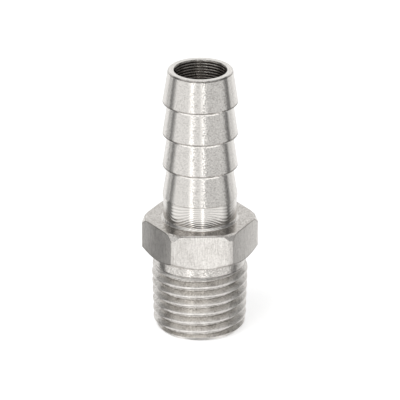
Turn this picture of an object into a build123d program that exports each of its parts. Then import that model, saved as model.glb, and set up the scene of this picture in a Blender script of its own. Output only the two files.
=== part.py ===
"""Hose barb tail: barbed hose stem, spanner hexagon and taper pipe thread turned from one bar."""

import os
from math import cos, pi, radians, sin, tan

from build123d import *

os.makedirs("parts", exist_ok=True)

# All sizes are in millimetres. The origin is the centre of the face at the threaded end.

# Lengths along the axis, from the threaded end upwards.
pipe_end_length = 11.25
hexagon_height = 5.0
stem_plain_length = 3.4
last_cone_length = 4.45
barb_pitch = 4.65
nose_length = 4.6
hexagon_top = pipe_end_length + hexagon_height
cone_foot = hexagon_top + stem_plain_length
barb_edges = [cone_foot + last_cone_length + barb_pitch * n for n in range(3)]
total_length = barb_edges[-1] + nose_length

# Bore.
bore_diameter = 7.2
mouth_chamfer = 0.1
pipe_mouth_chamfer = 0.35

# Barbed stem.
barb_diameter = 10.34
barb_root_diameter = 8.94
stem_diameter = 10.14
rim_chamfer = 0.14
stem_foot_chamfer = 0.3

# Hexagon.
across_flats = 14.1
corner_turned_off = 0.3
corner_diameter = across_flats / cos(radians(30)) - corner_turned_off
top_circle_margin = 0.46
top_circle_diameter = across_flats + top_circle_margin
top_shoulder_margin = 1.2
top_shoulder_diameter = across_flats + top_shoulder_margin
top_shoulder_drop = 0.14
top_chamfer_angle = 62.0
bottom_circle_diameter = across_flats
bottom_chamfer_angle = 35.5

# Taper pipe thread, 19 turns to the inch, 55 degree form, taper 1 in 16 on diameter.
thread_pitch = 1.337
gauge_diameter = 13.157
gauge_length = 6.8
taper = 1.0 / 16.0
flank_angle = 27.5
thread_depth = 0.6403 * thread_pitch
root_flat = 0.15 * thread_pitch
thread_length = 9.45
blank_top_diameter = 13.24
crest_fade_length = 0.8
crest_end_diameter = 13.02
neck_diameter = 12.5
full_turns = 6.6
run_out_turns = 1.0
start_angle = 12.0
end_chamfer_height = 0.9
end_face_diameter = 11.3


def thread_radius(height):
    """Radius of the sharp thread crest at a height above the end face."""
    return gauge_diameter / 2 + (height - gauge_length) * taper / 2


# Plain tapered blank for the pipe thread.
with BuildPart() as pipe_end:
    with BuildSketch(Plane.XZ):
        with BuildLine():
            Polyline(
                (0, 0),
                (thread_radius(0), 0),
                (thread_radius(pipe_end_length), pipe_end_length),
                (0, pipe_end_length),
                close=True,
            )
        make_face()
    revolve(axis=Axis.Z)

# Path of the groove root: a tapered helix that climbs out of the blank over its last turn.
steps_per_turn = 12
lead_in_turns = 1.0
path_points = []
for step in range(round((lead_in_turns + full_turns + run_out_turns) * steps_per_turn) + 1):
    turns = step / steps_per_turn
    height = (turns - lead_in_turns) * thread_pitch
    radius = thread_radius(height) - thread_depth
    fade = max(0.0, (turns - lead_in_turns - full_turns) / run_out_turns)
    radius += 1.2 * thread_depth * fade**2
    path_points.append((radius * cos(2 * pi * turns), radius * sin(2 * pi * turns), height))

# Cutter with the thread's groove shape, a little taller than the groove is deep.
cutter_height = 1.14 * thread_depth
cutter_half_width = root_flat / 2 + cutter_height * tan(radians(flank_angle))
with BuildPart() as groove:
    with BuildLine() as groove_path:
        Spline(*path_points)
    with BuildSketch(Plane(groove_path.line @ 0, x_dir=(1, 0, 0), z_dir=groove_path.line % 0)):
        with BuildLine():
            Polyline(
                (0, -root_flat / 2),
                (cutter_height, -cutter_half_width),
                (cutter_height, cutter_half_width),
                (0, root_flat / 2),
                close=True,
            )
        make_face()
    sweep(path=groove_path.line, is_frenet=True)

# Threaded end: groove, then the end chamfer, then the cylindrical crest and the neck.
with pipe_end:
    add(groove.part.rotate(Axis.Z, start_angle), mode=Mode.SUBTRACT)
    with BuildSketch(Plane.XZ):
        with BuildLine():
            Polyline(
                (end_face_diameter / 2, 0),
                (thread_radius(end_chamfer_height), end_chamfer_height),
                (across_flats, end_chamfer_height),
                (across_flats, -1),
                (end_face_diameter / 2, -1),
                close=True,
            )
        make_face()
    revolve(axis=Axis.Z, mode=Mode.SUBTRACT)
    with BuildSketch(Plane.XZ):
        with BuildLine():
            Polyline(
                (blank_top_diameter / 2, gauge_length),
                (blank_top_diameter / 2, thread_length - crest_fade_length),
                (crest_end_diameter / 2, thread_length),
                (neck_diameter / 2, thread_length + (crest_end_diameter - neck_diameter) / 2),
                (neck_diameter / 2, pipe_end_length + 1),
                (across_flats, pipe_end_length + 1),
                (across_flats, gauge_length),
                close=True,
            )
        make_face()
    revolve(axis=Axis.Z, mode=Mode.SUBTRACT)

# Hexagon turned to a round at its corners, with a double chamfer on top and a single one below.
cut_reach = 0.6 * across_flats
chamfer_foot_drop = (corner_diameter - top_shoulder_diameter) / 2 * tan(radians(top_chamfer_angle))
bottom_rise = (corner_diameter - bottom_circle_diameter) / 2 * tan(radians(bottom_chamfer_angle))
with BuildPart() as hexagon:
    with BuildSketch(Plane.XY.offset(pipe_end_length)):
        RegularPolygon(across_flats / 2, 6, major_radius=False)
    extrude(amount=hexagon_height)
    with BuildSketch(Plane.XZ):
        with BuildLine():
            Polyline(
                (top_circle_diameter / 2, hexagon_top),
                (top_shoulder_diameter / 2, hexagon_top - top_shoulder_drop),
                (corner_diameter / 2, hexagon_top - top_shoulder_drop - chamfer_foot_drop),
                (corner_diameter / 2, pipe_end_length + bottom_rise),
                (bottom_circle_diameter / 2, pipe_end_length),
                (cut_reach, pipe_end_length),
                (cut_reach, hexagon_top),
                close=True,
            )
        make_face()
    revolve(axis=Axis.Z, mode=Mode.SUBTRACT)

# Outline of the barbed stem from inside the hexagon to the rim, one sawtooth for each barb.
rim_radius = barb_root_diameter / 2
stem_outline = [
    (0, pipe_end_length + hexagon_height / 2),
    (stem_diameter / 2 + stem_foot_chamfer, pipe_end_length + hexagon_height / 2),
    (stem_diameter / 2 + stem_foot_chamfer, hexagon_top),
    (stem_diameter / 2, hexagon_top + stem_foot_chamfer),
    (stem_diameter / 2, cone_foot - (barb_diameter - stem_diameter) / 2),
    (barb_diameter / 2, cone_foot),
]
for edge_height in barb_edges:
    stem_outline.append((barb_root_diameter / 2, edge_height))
    stem_outline.append((barb_diameter / 2, edge_height))
stem_outline.append((rim_radius, total_length - rim_chamfer))
stem_outline.append((rim_radius - rim_chamfer, total_length))
stem_outline.append((0, total_length))

with BuildPart() as tail:
    add(pipe_end.part)
    add(hexagon.part)
    with BuildSketch(Plane.XZ):
        with BuildLine():
            Polyline(*stem_outline, close=True)
        make_face()
    revolve(axis=Axis.Z)

    # Through bore with a broken edge at the rim and a wider one at the threaded end.
    with BuildSketch(Plane.XZ):
        with BuildLine():
            Polyline(
                (0, -1),
                (bore_diameter / 2 + pipe_mouth_chamfer, -1),
                (bore_diameter / 2 + pipe_mouth_chamfer, 0),
                (bore_diameter / 2, pipe_mouth_chamfer),
                (bore_diameter / 2, total_length - mouth_chamfer),
                (bore_diameter / 2 + mouth_chamfer, total_length),
                (bore_diameter / 2 + mouth_chamfer, total_length + 1),
                (0, total_length + 1),
                close=True,
            )
        make_face()
    revolve(axis=Axis.Z, mode=Mode.SUBTRACT)

tail.part.label = "hose_barb_tail"
export_step(tail.part, "parts/hose_barb_tail.step")
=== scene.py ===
"""Dresses the hose barb tail: turned metal finish, plain studio and camera."""

from math import cos, degrees, pi, radians, sin, tan
from types import SimpleNamespace

import bpy
from mathutils import Matrix, Vector


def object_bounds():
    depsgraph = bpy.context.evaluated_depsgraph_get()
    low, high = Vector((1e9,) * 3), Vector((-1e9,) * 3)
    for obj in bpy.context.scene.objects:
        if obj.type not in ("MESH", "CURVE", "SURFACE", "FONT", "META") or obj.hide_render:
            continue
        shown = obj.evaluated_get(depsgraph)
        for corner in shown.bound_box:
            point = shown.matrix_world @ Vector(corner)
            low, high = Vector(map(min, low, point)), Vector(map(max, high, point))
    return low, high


bl_info = {
    "name": "Hose Barb Tail Looks",
    "version": (1, 0, 0),
    "blender": (4, 5, 0),
    "location": "3D View > Sidebar > Hose Tail",
    "description": "Turned metal finish, plain studio and camera for a hose barb tail",
    "category": "Object",
}

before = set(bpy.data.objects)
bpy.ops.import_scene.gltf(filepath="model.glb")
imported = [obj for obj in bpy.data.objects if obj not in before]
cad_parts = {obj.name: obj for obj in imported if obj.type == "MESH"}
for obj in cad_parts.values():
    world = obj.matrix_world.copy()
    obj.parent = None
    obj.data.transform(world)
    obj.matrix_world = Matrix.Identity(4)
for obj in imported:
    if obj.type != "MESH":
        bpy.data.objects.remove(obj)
cad_box = [list(corner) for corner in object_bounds()]

MM_PER_METRE = 1000

# Heights along the axis in millimetres, from the face at the threaded end.
GAUGE_HEIGHT = 6.8
THREAD_TOP = 9.6
HEXAGON_FOOT = 11.25
HEXAGON_TOP = 16.25
CONE_FOOT = 19.65
BARB_EDGES = (24.1, 28.75, 33.4)
RIM = cad_box[1][2] * MM_PER_METRE

# Distances from the axis, or from a plane through it, in millimetres.
BORE_RADIUS = 3.6
GAUGE_RADIUS = 6.58
HEXAGON_CORE_RADIUS = 6.6
FLAT_RADIUS = cad_box[1][1] * MM_PER_METRE
TOP_SHOULDER_RADIUS = 7.65
BRIM_START = FLAT_RADIUS - 0.27
SIDE_FLAT_START = 4.15

# Slopes of the thread's taper and the hexagon's chamfers, and the drop of its top shoulder.
TAPER = 1 / 32
TOP_CHAMFER_SLOPE = tan(radians(62))
BOTTOM_CHAMFER_SLOPE = tan(radians(35.5))
TOP_SHOULDER_DROP = 0.14

# The blur of an ordinary mask's edge and the margin that takes in the fitting's own edges, in
# millimetres.
EDGE_BLUR = 0.1
EDGE_MARGIN = 0.02

# How much of a surface's direction is upright: at least this on a level face, and at most
# this on a spanner flat.
LEVEL_FACING = 0.9
FLAT_FACING = 0.1

# Widths of the painted shade lines on the flats and depths of the thread's crest and root, in
# millimetres.
HEM_SHADE_WIDTH = 0.16
EDGING_SHADE_WIDTH = 0.2
CREST_DEPTH = 0.12
ROOT_DEPTH = 0.72

# Texture marks: counts to the millimetre.
CONE_RINGS = 9
THREAD_RINGS = 4
RING_WANDER = 0.7
DRAWN_LINES = 7
DRAWN_BREAKS = 0.8
GRAINS = 10.0
SMUDGES = 0.45

# Drill rings in the bore and wavy arcs on the stem, in millimetres. The arcs are a bump, and in
# the colour a painted reflection of the hexagon's turned top face.
DRILL_PITCH = 0.4
DRILL_DEPTH = 0.036
ARC_PITCH = 0.36
ARC_WAVES_PER_TURN = 4
ARC_WAVE_TOP = 20.0
ARC_WAVE_SLOPE = 0.24

# Grain round the cones: patches in a turn and where they start, their middle strength and
# its swing, the strength elsewhere, and how much is polished off the stem and the flats.
GRAIN_PATCHES = 3
GRAIN_PATCH_TURN = pi / 2 - 0.14
GRAIN_MIDDLE = 0.62
GRAIN_SWING = 0.32
EVEN_GRAIN = 0.8
STEM_POLISH = 0.8
FLAT_POLISH = 0.6

# Narrow bands that lean up or down, as from a rounded edge or the tool's corner:
# start and end in millimetres from the edge, and the lean.
BAND_BLUR = 0.04
BARB_LEANS = ((-0.5, -0.01, -0.46), (-0.01, 0.12, -0.57))
RIM_LEANS = ((-0.26, -0.12, 0.4), (-0.12, -0.02, -0.25))
# Painted shade under the barb edges and the rim's lip: start and end in millimetres from the
# edge, the share at the rim, and the blur of its edges.
BARB_SHADE = (-0.04, 0.19)
RIM_SHADE = (-0.24, -0.08)
RIM_SHADE_SHARE = 0.9
SHADE_BLUR = 0.06
TOP_EDGE_LEAN = 0.9
THREAD_LEAN = 0.42
FLAT_CROWN = 0.28
BRIM_CROWN = 0.14

# How far each place is toned down: 0 is the bright metal and 1 the dull one.
# Most entries are painted shade: the bore, the turned faces below the barbs such as the
# hexagon's top face round the stem, the lines along the flats' edges, the neck under the
# hexagon, the thread's roots, and the lines under the rim and the barb edges. The crests'
# negative entry is a painted highlight; the flats and the thread are a little darker.
DULLNESS_AND_SHADE = {
    "bore": 0.98,
    "ledge": 0.5,
    "flats": 0.24,
    "hem_shade": 0.45,
    "edging_shade": 0.45,
    "neck": 0.25,
    "thread": 0.08,
    "crest": -0.1,
    "root": 0.3,
    "rim_and_barb_shade": 0.7,
}

# How strongly smudges show in the roughness, and how wide and soft a stain's outline is.
SMUDGE_ROUGHNESS = 0.12
STAIN_WIDTH = 0.012
STAIN_BLUR = 0.016

# How strongly each kind of mark shows in the tone.
STAIN_TONE = 0.12
DRAWN_TONE = 0.9
FLECK_TONE = 0.5
# Painted reflection: the stem's arcs darken the colour.
ARC_REFLECTION_TONE = 0.3
THREAD_RING_TONE = 1.6
BARB_RING_TONE = 0.3
# Painted glints on the bore's drill rings: the rings turn lighter and darker in the colour.
DRILL_GLINT_TONE = 0.5

# How far the rings stretch reflections and in which direction, and how little the thread does.
RING_STRETCH = 0.8
RING_DIRECTION = 0.25
THREAD_EVENNESS = 0.7

# The studio as reflections see it, in degrees. A turn of 0 is behind the camera and 90 to its
# right, and a rise of 90 is overhead. Each zone has the rise where it starts, the blur there,
# its level, and the patches painted over it: a level, then the start, end and blur of its
# turns and, where it has them, of its rises.
STUDIO_ZONES = (
    # The shaded floor at the foot.
    (-100, 1, 0.95, ((0.2, -95, 95, 20),)),
    # The floor close by.
    (-66, 6, 0.55, ((2.0, -110, 110, 20),)),
    # The floor further off.
    (-50, 6, 1.2, ((0.22, -128, -98, 10), (0.7, 80, 131, 18), (0.18, 94, 108, 6))),
    # The walls, with a dark flag at each side.
    (
        -13,
        6,
        1.15,
        (
            (1.06, -106, 106, 8),
            (0.74, 14, 88, 12),
            (0.2, -105, -87, 6),
            (0.2, 85, 103, 6),
        ),
    ),
    # Overhead: pale behind the fitting, dark above the camera but for a soft box high up.
    (
        17,
        14,
        1.2,
        (
            (0.85, -400, 400, 1, 58, 200, 20),
            (0.22, -140, 140, 40),
            (0.85, -82, -42, 10, -200, 42, 10),
            (0.42, 42, 82, 10, -200, 42, 10),
            (0.85, -130, 130, 20, 50, 200, 10),
            (1.25, -74, 58, 12, 54, 200, 8),
        ),
    ),
)

# Upright strip lights: start, end and blur of their turns, and level.
STRIP_LIGHTS = ((-31, -23, 6, 1.3), (6, 11, 3, 1.5))
STRIP_RISES = (-40, 58, 10)

# Light on matt surfaces, and the floor's own light for the camera.
ROOM_LIGHT = 0.75
FLOOR_GLOW = 0.48

# The floor, the lamp and the camera, in metres, and the sensor in millimetres.
FLOOR_REACH = 3
LAMP_PLACE = (-0.12, -0.16, 0.42)
LAMP_AIM = (0, 0, 0.01)
LAMP_SIZE = 0.25
NEAREST = 0.01
SENSOR_WIDTH = 36


class Value:
    """A value in a node tree that can be used in ordinary sums, which add their own nodes."""

    def __init__(self, tree, socket=None):
        self.tree = tree
        self.socket = socket

    def node(self, kind, settings=None, inputs=None, outputs=0):
        """Adds a node, its settings first and then its inputs; gives one output or several."""
        made = self.tree.nodes.new(kind)
        for name, setting in (settings or {}).items():
            setattr(made, name, setting)
        for name, given in (inputs or {}).items():
            if isinstance(given, Value):
                self.tree.links.new(given.socket, made.inputs[name])
            else:
                made.inputs[name].default_value = given
        if isinstance(outputs, tuple):
            return [Value(self.tree, made.outputs[name]) for name in outputs]
        return Value(self.tree, made.outputs[outputs])

    def math(self, operation, first, second=0.0):
        """A Math node on one or two numbers."""
        return self.node("ShaderNodeMath", {"operation": operation}, {0: first, 1: second})

    def vector(self, operation, first, second=(0, 0, 0)):
        """A Vector Math node on one or two vectors."""
        return self.node("ShaderNodeVectorMath", {"operation": operation}, {0: first, 1: second})

    def scaled(self, scale):
        """This vector made longer or shorter."""
        inputs = {0: self, "Scale": scale}
        return self.node("ShaderNodeVectorMath", {"operation": "SCALE"}, inputs)

    def __add__(self, other):
        return self.math("ADD", self, other)

    __radd__ = __add__

    def __sub__(self, other):
        return self.math("SUBTRACT", self, other)

    def __rsub__(self, other):
        return self.math("SUBTRACT", other, self)

    def __mul__(self, other):
        return self.math("MULTIPLY", self, other)

    __rmul__ = __mul__

    def __truediv__(self, other):
        return self.math("DIVIDE", self, other)

    def __rtruediv__(self, other):
        return self.math("DIVIDE", other, self)

    def __abs__(self):
        return self.math("ABSOLUTE", self)

    def above(self, edge, blur):
        """1 where the value is above an edge and 0 below it, eased over a blur."""
        inputs = {"Value": self, "From Min": edge - blur / 2, "From Max": edge + blur / 2}
        return self.node("ShaderNodeMapRange", {"interpolation_type": "SMOOTHSTEP"}, inputs)

    def below(self, edge, blur):
        """1 where the value is below an edge and 0 above it, eased over a blur."""
        return 1 - self.above(edge, blur)

    def between(self, low, high, blur):
        """1 where the value lies between two edges, eased over a blur at each."""
        return self.above(low, blur) * self.below(high, blur)

    def blend(self, first, second):
        """The first where this mask is 0 and the second where it is 1."""
        inputs = {0: self, 2: first, 3: second}
        return self.node("ShaderNodeMix", {"data_type": "FLOAT"}, inputs)

    def ripple(self, pitch):
        """A wave between -1 and 1 that comes round once in each pitch."""
        return self.math("SINE", self * (2 * pi / pitch))


def new_tree(owner):
    """An empty node tree on a material or world."""
    owner.use_nodes = True
    owner.node_tree.nodes.clear()
    return Value(owner.node_tree)


class MetalSettings(bpy.types.PropertyGroup):
    """Colour and surface of the metal."""

    colour: bpy.props.FloatVectorProperty(
        name="Metal colour",
        description="Colour of the bright metal where it faces the viewer",
        subtype="COLOR",
        size=3,
        min=0,
        max=1,
        default=(0.86, 0.833, 0.797),
    )
    # The dull colour is also the colour of the painted shade, as in the bore.
    dull_and_shade_colour: bpy.props.FloatVectorProperty(
        name="Dull colour",
        description="Colour of the metal where it is dullest, as in the bore",
        subtype="COLOR",
        size=3,
        min=0,
        max=1,
        default=(0.301, 0.27489, 0.24707),
    )
    barb_roughness: bpy.props.FloatProperty(
        name="Barb roughness",
        description="Roughness of the turned cones",
        subtype="FACTOR",
        min=0,
        max=1,
        default=0.24,
    )
    stem_roughness: bpy.props.FloatProperty(
        name="Stem roughness",
        description="Roughness of the polished stem and of the hexagon's turned faces",
        subtype="FACTOR",
        min=0,
        max=1,
        default=0.14,
    )
    flat_roughness: bpy.props.FloatProperty(
        name="Flat roughness",
        description="Roughness of the spanner flats",
        subtype="FACTOR",
        min=0,
        max=1,
        default=0.3,
    )
    thread_roughness: bpy.props.FloatProperty(
        name="Thread roughness",
        description="Roughness of the cut thread",
        subtype="FACTOR",
        min=0,
        max=1,
        default=0.3,
    )
    scratch_depth: bpy.props.FloatProperty(
        name="Scratch depth",
        description="Depth of the turning scratches",
        subtype="DISTANCE",
        unit="LENGTH",
        min=0,
        default=0.000005,
        precision=7,
    )
    grain_tilt: bpy.props.FloatProperty(
        name="Grain tilt",
        description="How far the fine grain tilts the surface and breaks up the reflections",
        min=0,
        default=0.14,
    )
    feed_mark_depth: bpy.props.FloatProperty(
        name="Feed mark depth",
        description="Depth of the wavy marks on the polished stem",
        subtype="DISTANCE",
        unit="LENGTH",
        min=0,
        default=0.000006,
        precision=7,
    )
    edge_radius: bpy.props.FloatProperty(
        name="Edge radius",
        description="Radius at which the sharp edges catch the light",
        subtype="DISTANCE",
        unit="LENGTH",
        min=0,
        default=0.0001,
        precision=6,
    )


class StudioSettings(bpy.types.PropertyGroup):
    """Camera, floor and lights."""

    camera_distance: bpy.props.FloatProperty(
        name="Camera distance",
        description="Distance from the camera to the fitting's axis",
        subtype="DISTANCE",
        unit="LENGTH",
        default=0.6,
    )
    camera_height: bpy.props.FloatProperty(
        name="Aim height",
        description="Height on the axis that the camera looks at",
        subtype="DISTANCE",
        unit="LENGTH",
        default=0.01866,
        precision=5,
    )
    elevation: bpy.props.FloatProperty(
        name="Elevation",
        description="Angle of the camera above the floor",
        subtype="ANGLE",
        unit="ROTATION",
        default=radians(23.44),
    )
    heading: bpy.props.FloatProperty(
        name="Heading",
        description="Turn of the camera round the axis, from the front flat",
        subtype="ANGLE",
        unit="ROTATION",
        default=radians(-2.44),
    )
    roll: bpy.props.FloatProperty(
        name="Roll",
        description="Lean of the camera about its own axis",
        subtype="ANGLE",
        unit="ROTATION",
        default=radians(0.19),
    )
    lens: bpy.props.FloatProperty(
        name="Lens",
        description="Focal length on a 36 mm wide sensor",
        unit="CAMERA",
        default=392.6,
    )
    floor_colour: bpy.props.FloatVectorProperty(
        name="Floor colour",
        description="Colour of the floor",
        subtype="COLOR",
        size=3,
        min=0,
        max=1,
        default=(0.85, 0.85, 0.85),
    )
    lamp_power: bpy.props.FloatProperty(
        name="Lamp power",
        description="Power of the soft lamp over the floor",
        unit="POWER",
        default=0.6,
    )


def survey(tree):
    """Where a point lies on the fitting, in millimetres, and a mask for each kind of surface."""
    place = tree.node("ShaderNodeTexCoord", outputs="Object").scaled(MM_PER_METRE)
    x, y, z = tree.node("ShaderNodeSeparateXYZ", inputs={0: place}, outputs=("X", "Y", "Z"))
    radius = tree.math("SQRT", x * x + y * y)
    facing = tree.node("ShaderNodeTexCoord", outputs="Normal")
    facing = tree.node("ShaderNodeSeparateXYZ", inputs={0: facing}, outputs="Z")

    bore = radius.below(BORE_RADIUS + 2 * EDGE_MARGIN, 2 * EDGE_MARGIN)
    face = abs(facing).above(LEVEL_FACING, EDGE_BLUR) * (1 - bore)
    stem = z.between(HEXAGON_TOP + EDGE_MARGIN, CONE_FOOT, 0.12)
    barbs = z.above(CONE_FOOT, 0.12)

    # The flat turned faces below the barbs, and the brim along the front and back flats.
    ledge = face * (1 - barbs)
    brim = ledge * abs(y).above(BRIM_START, 0.06)

    # The hexagon's flats, with a line of painted shade along their feet and along the side flats'
    # top edges.
    hexagon = z.between(HEXAGON_FOOT - EDGE_MARGIN, HEXAGON_TOP + EDGE_MARGIN, EDGE_MARGIN)
    hexagon = hexagon * radius.above(HEXAGON_CORE_RADIUS, EDGE_BLUR)
    flats = hexagon * abs(facing).below(FLAT_FACING, EDGE_BLUR)
    over = z - HEXAGON_FOOT - (radius - FLAT_RADIUS) * BOTTOM_CHAMFER_SLOPE
    under = HEXAGON_TOP - z
    slant = under - TOP_SHOULDER_DROP - (radius - TOP_SHOULDER_RADIUS) * TOP_CHAMFER_SLOPE
    under = tree.math("MINIMUM", slant, under)
    hem_shade = flats * over.below(HEM_SHADE_WIDTH, EDGE_BLUR)
    edging_shade = flats * under.below(EDGING_SHADE_WIDTH, EDGE_BLUR)
    edging_shade = edging_shade * abs(x).above(SIDE_FLAT_START, EDGE_BLUR)

    # The thread, its crests and roots by their depth under the sharp cone, and its neck.
    thread = z.below(THREAD_TOP, EDGE_BLUR)
    depth = GAUGE_RADIUS + (z - GAUGE_HEIGHT) * TAPER - radius
    crest = depth.below(CREST_DEPTH, EDGE_BLUR) * thread
    root = depth.above(ROOT_DEPTH, 2 * EDGE_BLUR) * thread
    neck = z.between(THREAD_TOP, HEXAGON_FOOT - EDGE_MARGIN, EDGE_BLUR)

    # Painted shade: a dark line under the rim's lip and in the corner under each barb, where
    # shade falls.
    low, high = RIM_SHADE
    rim_and_barb_shade = z.between(RIM + low, RIM + high, SHADE_BLUR) * (1 - bore) * RIM_SHADE_SHARE
    low, high = BARB_SHADE
    for edge in BARB_EDGES:
        rim_and_barb_shade = rim_and_barb_shade + z.between(edge + low, edge + high, SHADE_BLUR)

    turn = tree.math("ARCTAN2", y, x)
    return SimpleNamespace(
        place=place, x=x, y=y, z=z, radius=radius, turn=turn, facing=facing,
        bore=bore, face=face, stem=stem, barbs=barbs, ledge=ledge, brim=brim,
        hexagon=hexagon, flats=flats, hem_shade=hem_shade, edging_shade=edging_shade,
        thread=thread, crest=crest, root=root, neck=neck, rim_and_barb_shade=rim_and_barb_shade,
    )


def tool_marks(tree, at):
    """The marks of the making: rings, drawn lines, smudges, grain and drill rings; and wavy arcs
    on the stem, a bump that the colour also uses as a painted reflection.
    """
    x, y, z = at.x, at.y, at.z

    def noise(vector, scale, detail):
        inputs = {"Vector": vector, "Scale": scale, "Detail": detail}
        return tree.node("ShaderNodeTexNoise", inputs=inputs)

    # Rings run round the axis: layers along it on the cones, circles on the faces.
    along = at.face.blend(z, at.radius) * at.thread.blend(CONE_RINGS, THREAD_RINGS)
    layers = {0: x * RING_WANDER, 1: y * RING_WANDER, 2: along}
    rings = noise(tree.node("ShaderNodeCombineXYZ", inputs=layers), 1.0, 4.0)
    lines = {0: x * DRAWN_LINES, 1: y * DRAWN_LINES, 2: z * DRAWN_BREAKS}
    drawn = noise(tree.node("ShaderNodeCombineXYZ", inputs=lines), 1.0, 3.0)
    smudge = noise(at.place, SMUDGES, 4.0)

    # Grain lies thinly on the stem and flats, and in patches round the cones.
    grains = tree.node("ShaderNodeTexVoronoi", {}, {"Vector": at.place, "Scale": GRAINS}, "Color")
    fleck = tree.node("ShaderNodeSeparateColor", inputs={0: grains})
    coarse = (1 - at.stem * STEM_POLISH) * (1 - at.flats * FLAT_POLISH)
    patch = tree.math("COSINE", (at.turn + GRAIN_PATCH_TURN) * GRAIN_PATCHES)
    patch = patch * GRAIN_SWING + GRAIN_MIDDLE
    grain = coarse * (at.thread + at.flats + at.ledge).blend(patch, EVEN_GRAIN)

    drill = z.ripple(DRILL_PITCH) * (0.4 + rings)
    wave = tree.math("COSINE", (at.turn + pi / 2) * ARC_WAVES_PER_TURN)
    stem_arcs = (z - wave * (ARC_WAVE_TOP - z) * ARC_WAVE_SLOPE).ripple(ARC_PITCH)
    return SimpleNamespace(
        rings=rings, drawn=drawn, smudge=smudge, grains=grains, fleck=fleck,
        coarse=coarse, grain=grain, drill=drill, stem_arcs=stem_arcs,
    )


def metal_normal(tree, at, marks, settings):
    """The surface's direction, with rounded edges, leaning bands, grain and tool marks."""
    lean = at.hexagon * at.z.above(HEXAGON_TOP - 0.16, 0.04) * TOP_EDGE_LEAN
    lean = lean - at.facing * at.thread * THREAD_LEAN
    bands = [(edge, band) for edge in BARB_EDGES for band in BARB_LEANS]
    bands += [(RIM, band) for band in RIM_LEANS]
    for edge, (low, high, amount) in bands:
        lean = lean + at.z.between(edge + low, edge + high, BAND_BLUR) * amount
    lean = lean * (1 - at.face) * (1 - at.bore)

    crown = at.flats * FLAT_CROWN / at.radius
    leans = {0: at.x * crown, 1: at.y * (crown + at.brim * BRIM_CROWN), 2: lean}
    leans = tree.node("ShaderNodeCombineXYZ", inputs=leans)
    sparkle = tree.vector("SUBTRACT", marks.grains, (0.5, 0.5, 0.5))
    sparkle = sparkle.scaled(marks.grain * settings.grain_tilt)
    rounded = tree.node("ShaderNodeBevel", {"samples": 6}, {"Radius": settings.edge_radius})
    normal = tree.vector("ADD", tree.vector("ADD", rounded, leans), sparkle)
    normal = tree.vector("NORMALIZE", normal)

    scratch = at.flats.blend(marks.rings, marks.drawn) - 0.5
    height = scratch * (2 * settings.scratch_depth * MM_PER_METRE)
    height = height + marks.drill * at.bore * DRILL_DEPTH
    height = height + marks.stem_arcs * at.stem * (settings.feed_mark_depth * MM_PER_METRE)
    bump = {"Strength": 1.0, "Distance": 1 / MM_PER_METRE, "Height": height, "Normal": normal}
    return tree.node("ShaderNodeBump", {}, bump)


def metal_roughness(at, marks, settings):
    """Roughness of each kind of surface, with faint smudges."""
    roughness = (at.stem + at.ledge).blend(settings.barb_roughness, settings.stem_roughness)
    roughness = at.flats.blend(roughness, settings.flat_roughness)
    roughness = at.thread.blend(roughness, settings.thread_roughness)
    return roughness + (marks.smudge - 0.5) * SMUDGE_ROUGHNESS


def metal_colour(tree, at, marks, settings):
    """Bright metal, toned down by place and by the marks on it. This puts in painted shade, a
    painted highlight on the crests, painted glints on the drill rings and a painted reflection on
    the stem.
    """
    dull_and_shade = sum(getattr(at, name) * amount for name, amount in DULLNESS_AND_SHADE.items())
    stain = abs(marks.smudge - 0.5).below(STAIN_WIDTH, STAIN_BLUR)
    dull_and_shade = dull_and_shade + (stain * STAIN_TONE + (marks.drawn - 0.5) * DRAWN_TONE) * at.flats
    dull_and_shade = dull_and_shade + (marks.fleck - 0.5) * (marks.grain + marks.coarse) * FLECK_TONE
    # Painted reflection of the hexagon's turned top face: arcs on the stem.
    dull_and_shade = dull_and_shade + marks.stem_arcs.above(0.3, 0.8) * at.stem * ARC_REFLECTION_TONE
    ringed = at.thread * THREAD_RING_TONE + at.barbs * BARB_RING_TONE
    # The rings on the thread and barbs are plain tone; in the bore the drill rings also carry
    # painted glints.
    dull_and_shade = dull_and_shade + (marks.rings - 0.5) * ringed + marks.drill * at.bore * DRILL_GLINT_TONE
    inputs = {0: dull_and_shade, 6: (*settings.colour, 1), 7: (*settings.dull_and_shade_colour, 1)}
    return tree.node("ShaderNodeMix", {"data_type": "RGBA"}, inputs, 2)


def metal_material(settings):
    """Bare turned metal: ringed cones and faces, drawn flats, cut thread and drilled bore."""
    material = bpy.data.materials.new("turned_metal")
    tree = new_tree(material)
    at = survey(tree)
    marks = tool_marks(tree, at)
    shared = {
        "Base Color": metal_colour(tree, at, marks, settings),
        "Metallic": 1.0,
        "Roughness": metal_roughness(at, marks, settings),
        "Normal": metal_normal(tree, at, marks, settings),
    }
    stretch = {"Anisotropic": RING_STRETCH, "Anisotropic Rotation": RING_DIRECTION}
    ringed = tree.node("ShaderNodeBsdfPrincipled", {}, {**shared, **stretch})
    plain = tree.node("ShaderNodeBsdfPrincipled", {}, shared)
    mixed = {0: at.flats + at.thread * THREAD_EVENNESS, 1: ringed, 2: plain}
    surface = tree.node("ShaderNodeMixShader", {}, mixed)
    tree.node("ShaderNodeOutputMaterial", {}, {"Surface": surface}, ())
    return material


def studio_level(turn, rise):
    """How bright the studio is in each direction, for reflections."""
    level = 0
    for start, blur, zone, patches in STUDIO_ZONES:
        for patch, *limits in patches:
            mask = turn.between(*limits[:3])
            if limits[3:]:
                mask = mask * rise.between(*limits[3:])
            zone = mask.blend(zone, patch)
        level = rise.above(start, blur).blend(level, zone)
    strips = sum(turn.between(*limits) * light for *limits, light in STRIP_LIGHTS)
    return level + strips * rise.between(*STRIP_RISES)


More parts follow.
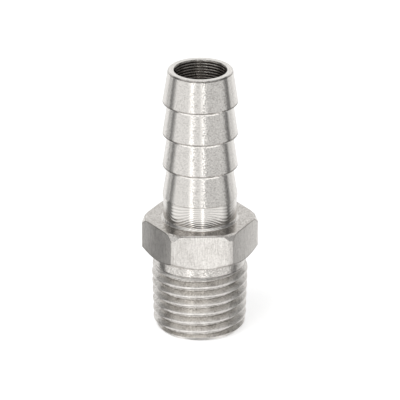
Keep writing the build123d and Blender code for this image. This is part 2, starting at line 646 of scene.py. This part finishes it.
def studio_world(settings):
    """White surroundings for the camera, and pale walls with dark flags for reflections."""
    world = bpy.data.worlds.new("studio")
    tree = new_tree(world)
    way = tree.node("ShaderNodeTexCoord", outputs="Generated")
    x, y, z = tree.node("ShaderNodeSeparateXYZ", inputs={0: way}, outputs=("X", "Y", "Z"))
    turn = tree.math("ARCTAN2", x, 0 - y) * degrees(1) - degrees(settings.heading)
    rise = tree.math("ARCSINE", z) * degrees(1)
    rays = ("Is Camera Ray", "Is Glossy Ray", "Is Transmission Ray")
    camera, glossy, through = tree.node("ShaderNodeLightPath", outputs=rays)
    strength = glossy.blend(ROOM_LIGHT, studio_level(turn, rise))
    strength = camera.blend(through.blend(strength, 1.0), 1.0)
    light = tree.node("ShaderNodeBackground", {}, {"Strength": strength})
    tree.node("ShaderNodeOutputWorld", {}, {"Surface": light}, ())
    return world


def floor_material(settings):
    """Pale floor that stays white to the camera and still takes a shadow."""
    material = bpy.data.materials.new("pale_floor")
    tree = new_tree(material)
    matt = tree.node("ShaderNodeBsdfDiffuse", {}, {"Color": (*settings.floor_colour, 1)})
    camera = tree.node("ShaderNodeLightPath", outputs="Is Camera Ray")
    glow = tree.node("ShaderNodeEmission", {}, {"Strength": camera * FLOOR_GLOW})
    surface = tree.node("ShaderNodeAddShader", {}, {0: matt, 1: glow})
    tree.node("ShaderNodeOutputMaterial", {}, {"Surface": surface}, ())
    return material


def add_floor(scene, settings):
    """The floor under the fitting."""
    mesh = bpy.data.meshes.new("floor")
    near, far = -FLOOR_REACH, FLOOR_REACH
    corners = [(near, near, 0), (far, near, 0), (far, far, 0), (near, far, 0)]
    mesh.from_pydata(corners, [], [(0, 1, 2, 3)])
    mesh.materials.append(floor_material(settings))
    floor = bpy.data.objects.new("floor", mesh)
    scene.collection.objects.link(floor)
    floor.visible_glossy = False


def add_lamp(scene, settings):
    """The soft round lamp that casts the fitting's shadow."""
    lamp = bpy.data.lights.new("soft_lamp", "AREA")
    lamp.shape = "DISK"
    lamp.size = LAMP_SIZE
    lamp.energy = settings.lamp_power
    lamp_object = bpy.data.objects.new("soft_lamp", lamp)
    lamp_object.location = LAMP_PLACE
    aim = Vector(LAMP_AIM) - lamp_object.location
    lamp_object.rotation_euler = aim.to_track_quat("-Z", "Y").to_euler()
    lamp_object.visible_camera = False
    lamp_object.visible_glossy = False
    scene.collection.objects.link(lamp_object)


def add_camera(scene, settings):
    """The camera, aimed at a height on the axis."""
    camera = bpy.data.cameras.new("camera")
    camera.sensor_width = SENSOR_WIDTH
    camera.lens = settings.lens
    camera.clip_start = NEAREST
    view = bpy.data.objects.new("camera", camera)
    flat, rise = cos(settings.elevation), sin(settings.elevation)
    back = Vector((sin(settings.heading) * flat, -cos(settings.heading) * flat, rise))
    view.location = Vector((0, 0, settings.camera_height)) + back * settings.camera_distance
    turn = (-back).to_track_quat("-Z", "Y").to_matrix()
    view.rotation_euler = (turn @ Matrix.Rotation(settings.roll, 3, "Z")).to_euler()
    scene.collection.objects.link(view)
    scene.camera = view


class HOSETAIL_OT_metal(bpy.types.Operator):
    """Give the fitting its turned metal finish"""

    bl_idname = "hosetail.metal"
    bl_label = "Finish Metal"

    def execute(self, context):
        material = metal_material(context.scene.hosetail_metal)
        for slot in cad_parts["hose_barb_tail"].material_slots:
            slot.material = material
        return {"FINISHED"}


class HOSETAIL_OT_stage(bpy.types.Operator):
    """Set up the floor, the surroundings, the lamp and the camera"""

    bl_idname = "hosetail.stage"
    bl_label = "Set Stage"

    def execute(self, context):
        scene = context.scene
        settings = scene.hosetail_studio
        scene.view_settings.view_transform = "Standard"
        scene.world = studio_world(settings)
        add_floor(scene, settings)
        add_lamp(scene, settings)
        add_camera(scene, settings)
        return {"FINISHED"}


class HOSETAIL_PT_looks(bpy.types.Panel):
    """Settings and steps of the fitting's looks"""

    bl_label = "Hose Tail"
    bl_space_type = "VIEW_3D"
    bl_region_type = "UI"
    bl_category = "Hose Tail"

    def draw(self, context):
        for settings in (context.scene.hosetail_metal, context.scene.hosetail_studio):
            column = self.layout.column()
            for name in type(settings).__annotations__:
                column.prop(settings, name)
        self.layout.operator(HOSETAIL_OT_stage.bl_idname)
        self.layout.operator(HOSETAIL_OT_metal.bl_idname)


CLASSES = (
    MetalSettings,
    StudioSettings,
    HOSETAIL_OT_metal,
    HOSETAIL_OT_stage,
    HOSETAIL_PT_looks,
)


def register():
    """Registers the classes and puts the settings on the scene."""
    for cls in CLASSES:
        bpy.utils.register_class(cls)
    bpy.types.Scene.hosetail_metal = bpy.props.PointerProperty(type=MetalSettings)
    bpy.types.Scene.hosetail_studio = bpy.props.PointerProperty(type=StudioSettings)


def unregister():
    """Takes the settings off the scene and unregisters the classes."""
    del bpy.types.Scene.hosetail_studio
    del bpy.types.Scene.hosetail_metal
    for cls in reversed(CLASSES):
        bpy.utils.unregister_class(cls)


def main():
    """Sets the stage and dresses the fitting."""
    register()
    bpy.ops.hosetail.stage()
    bpy.ops.hosetail.metal()


if __name__ == "__main__":
    main()
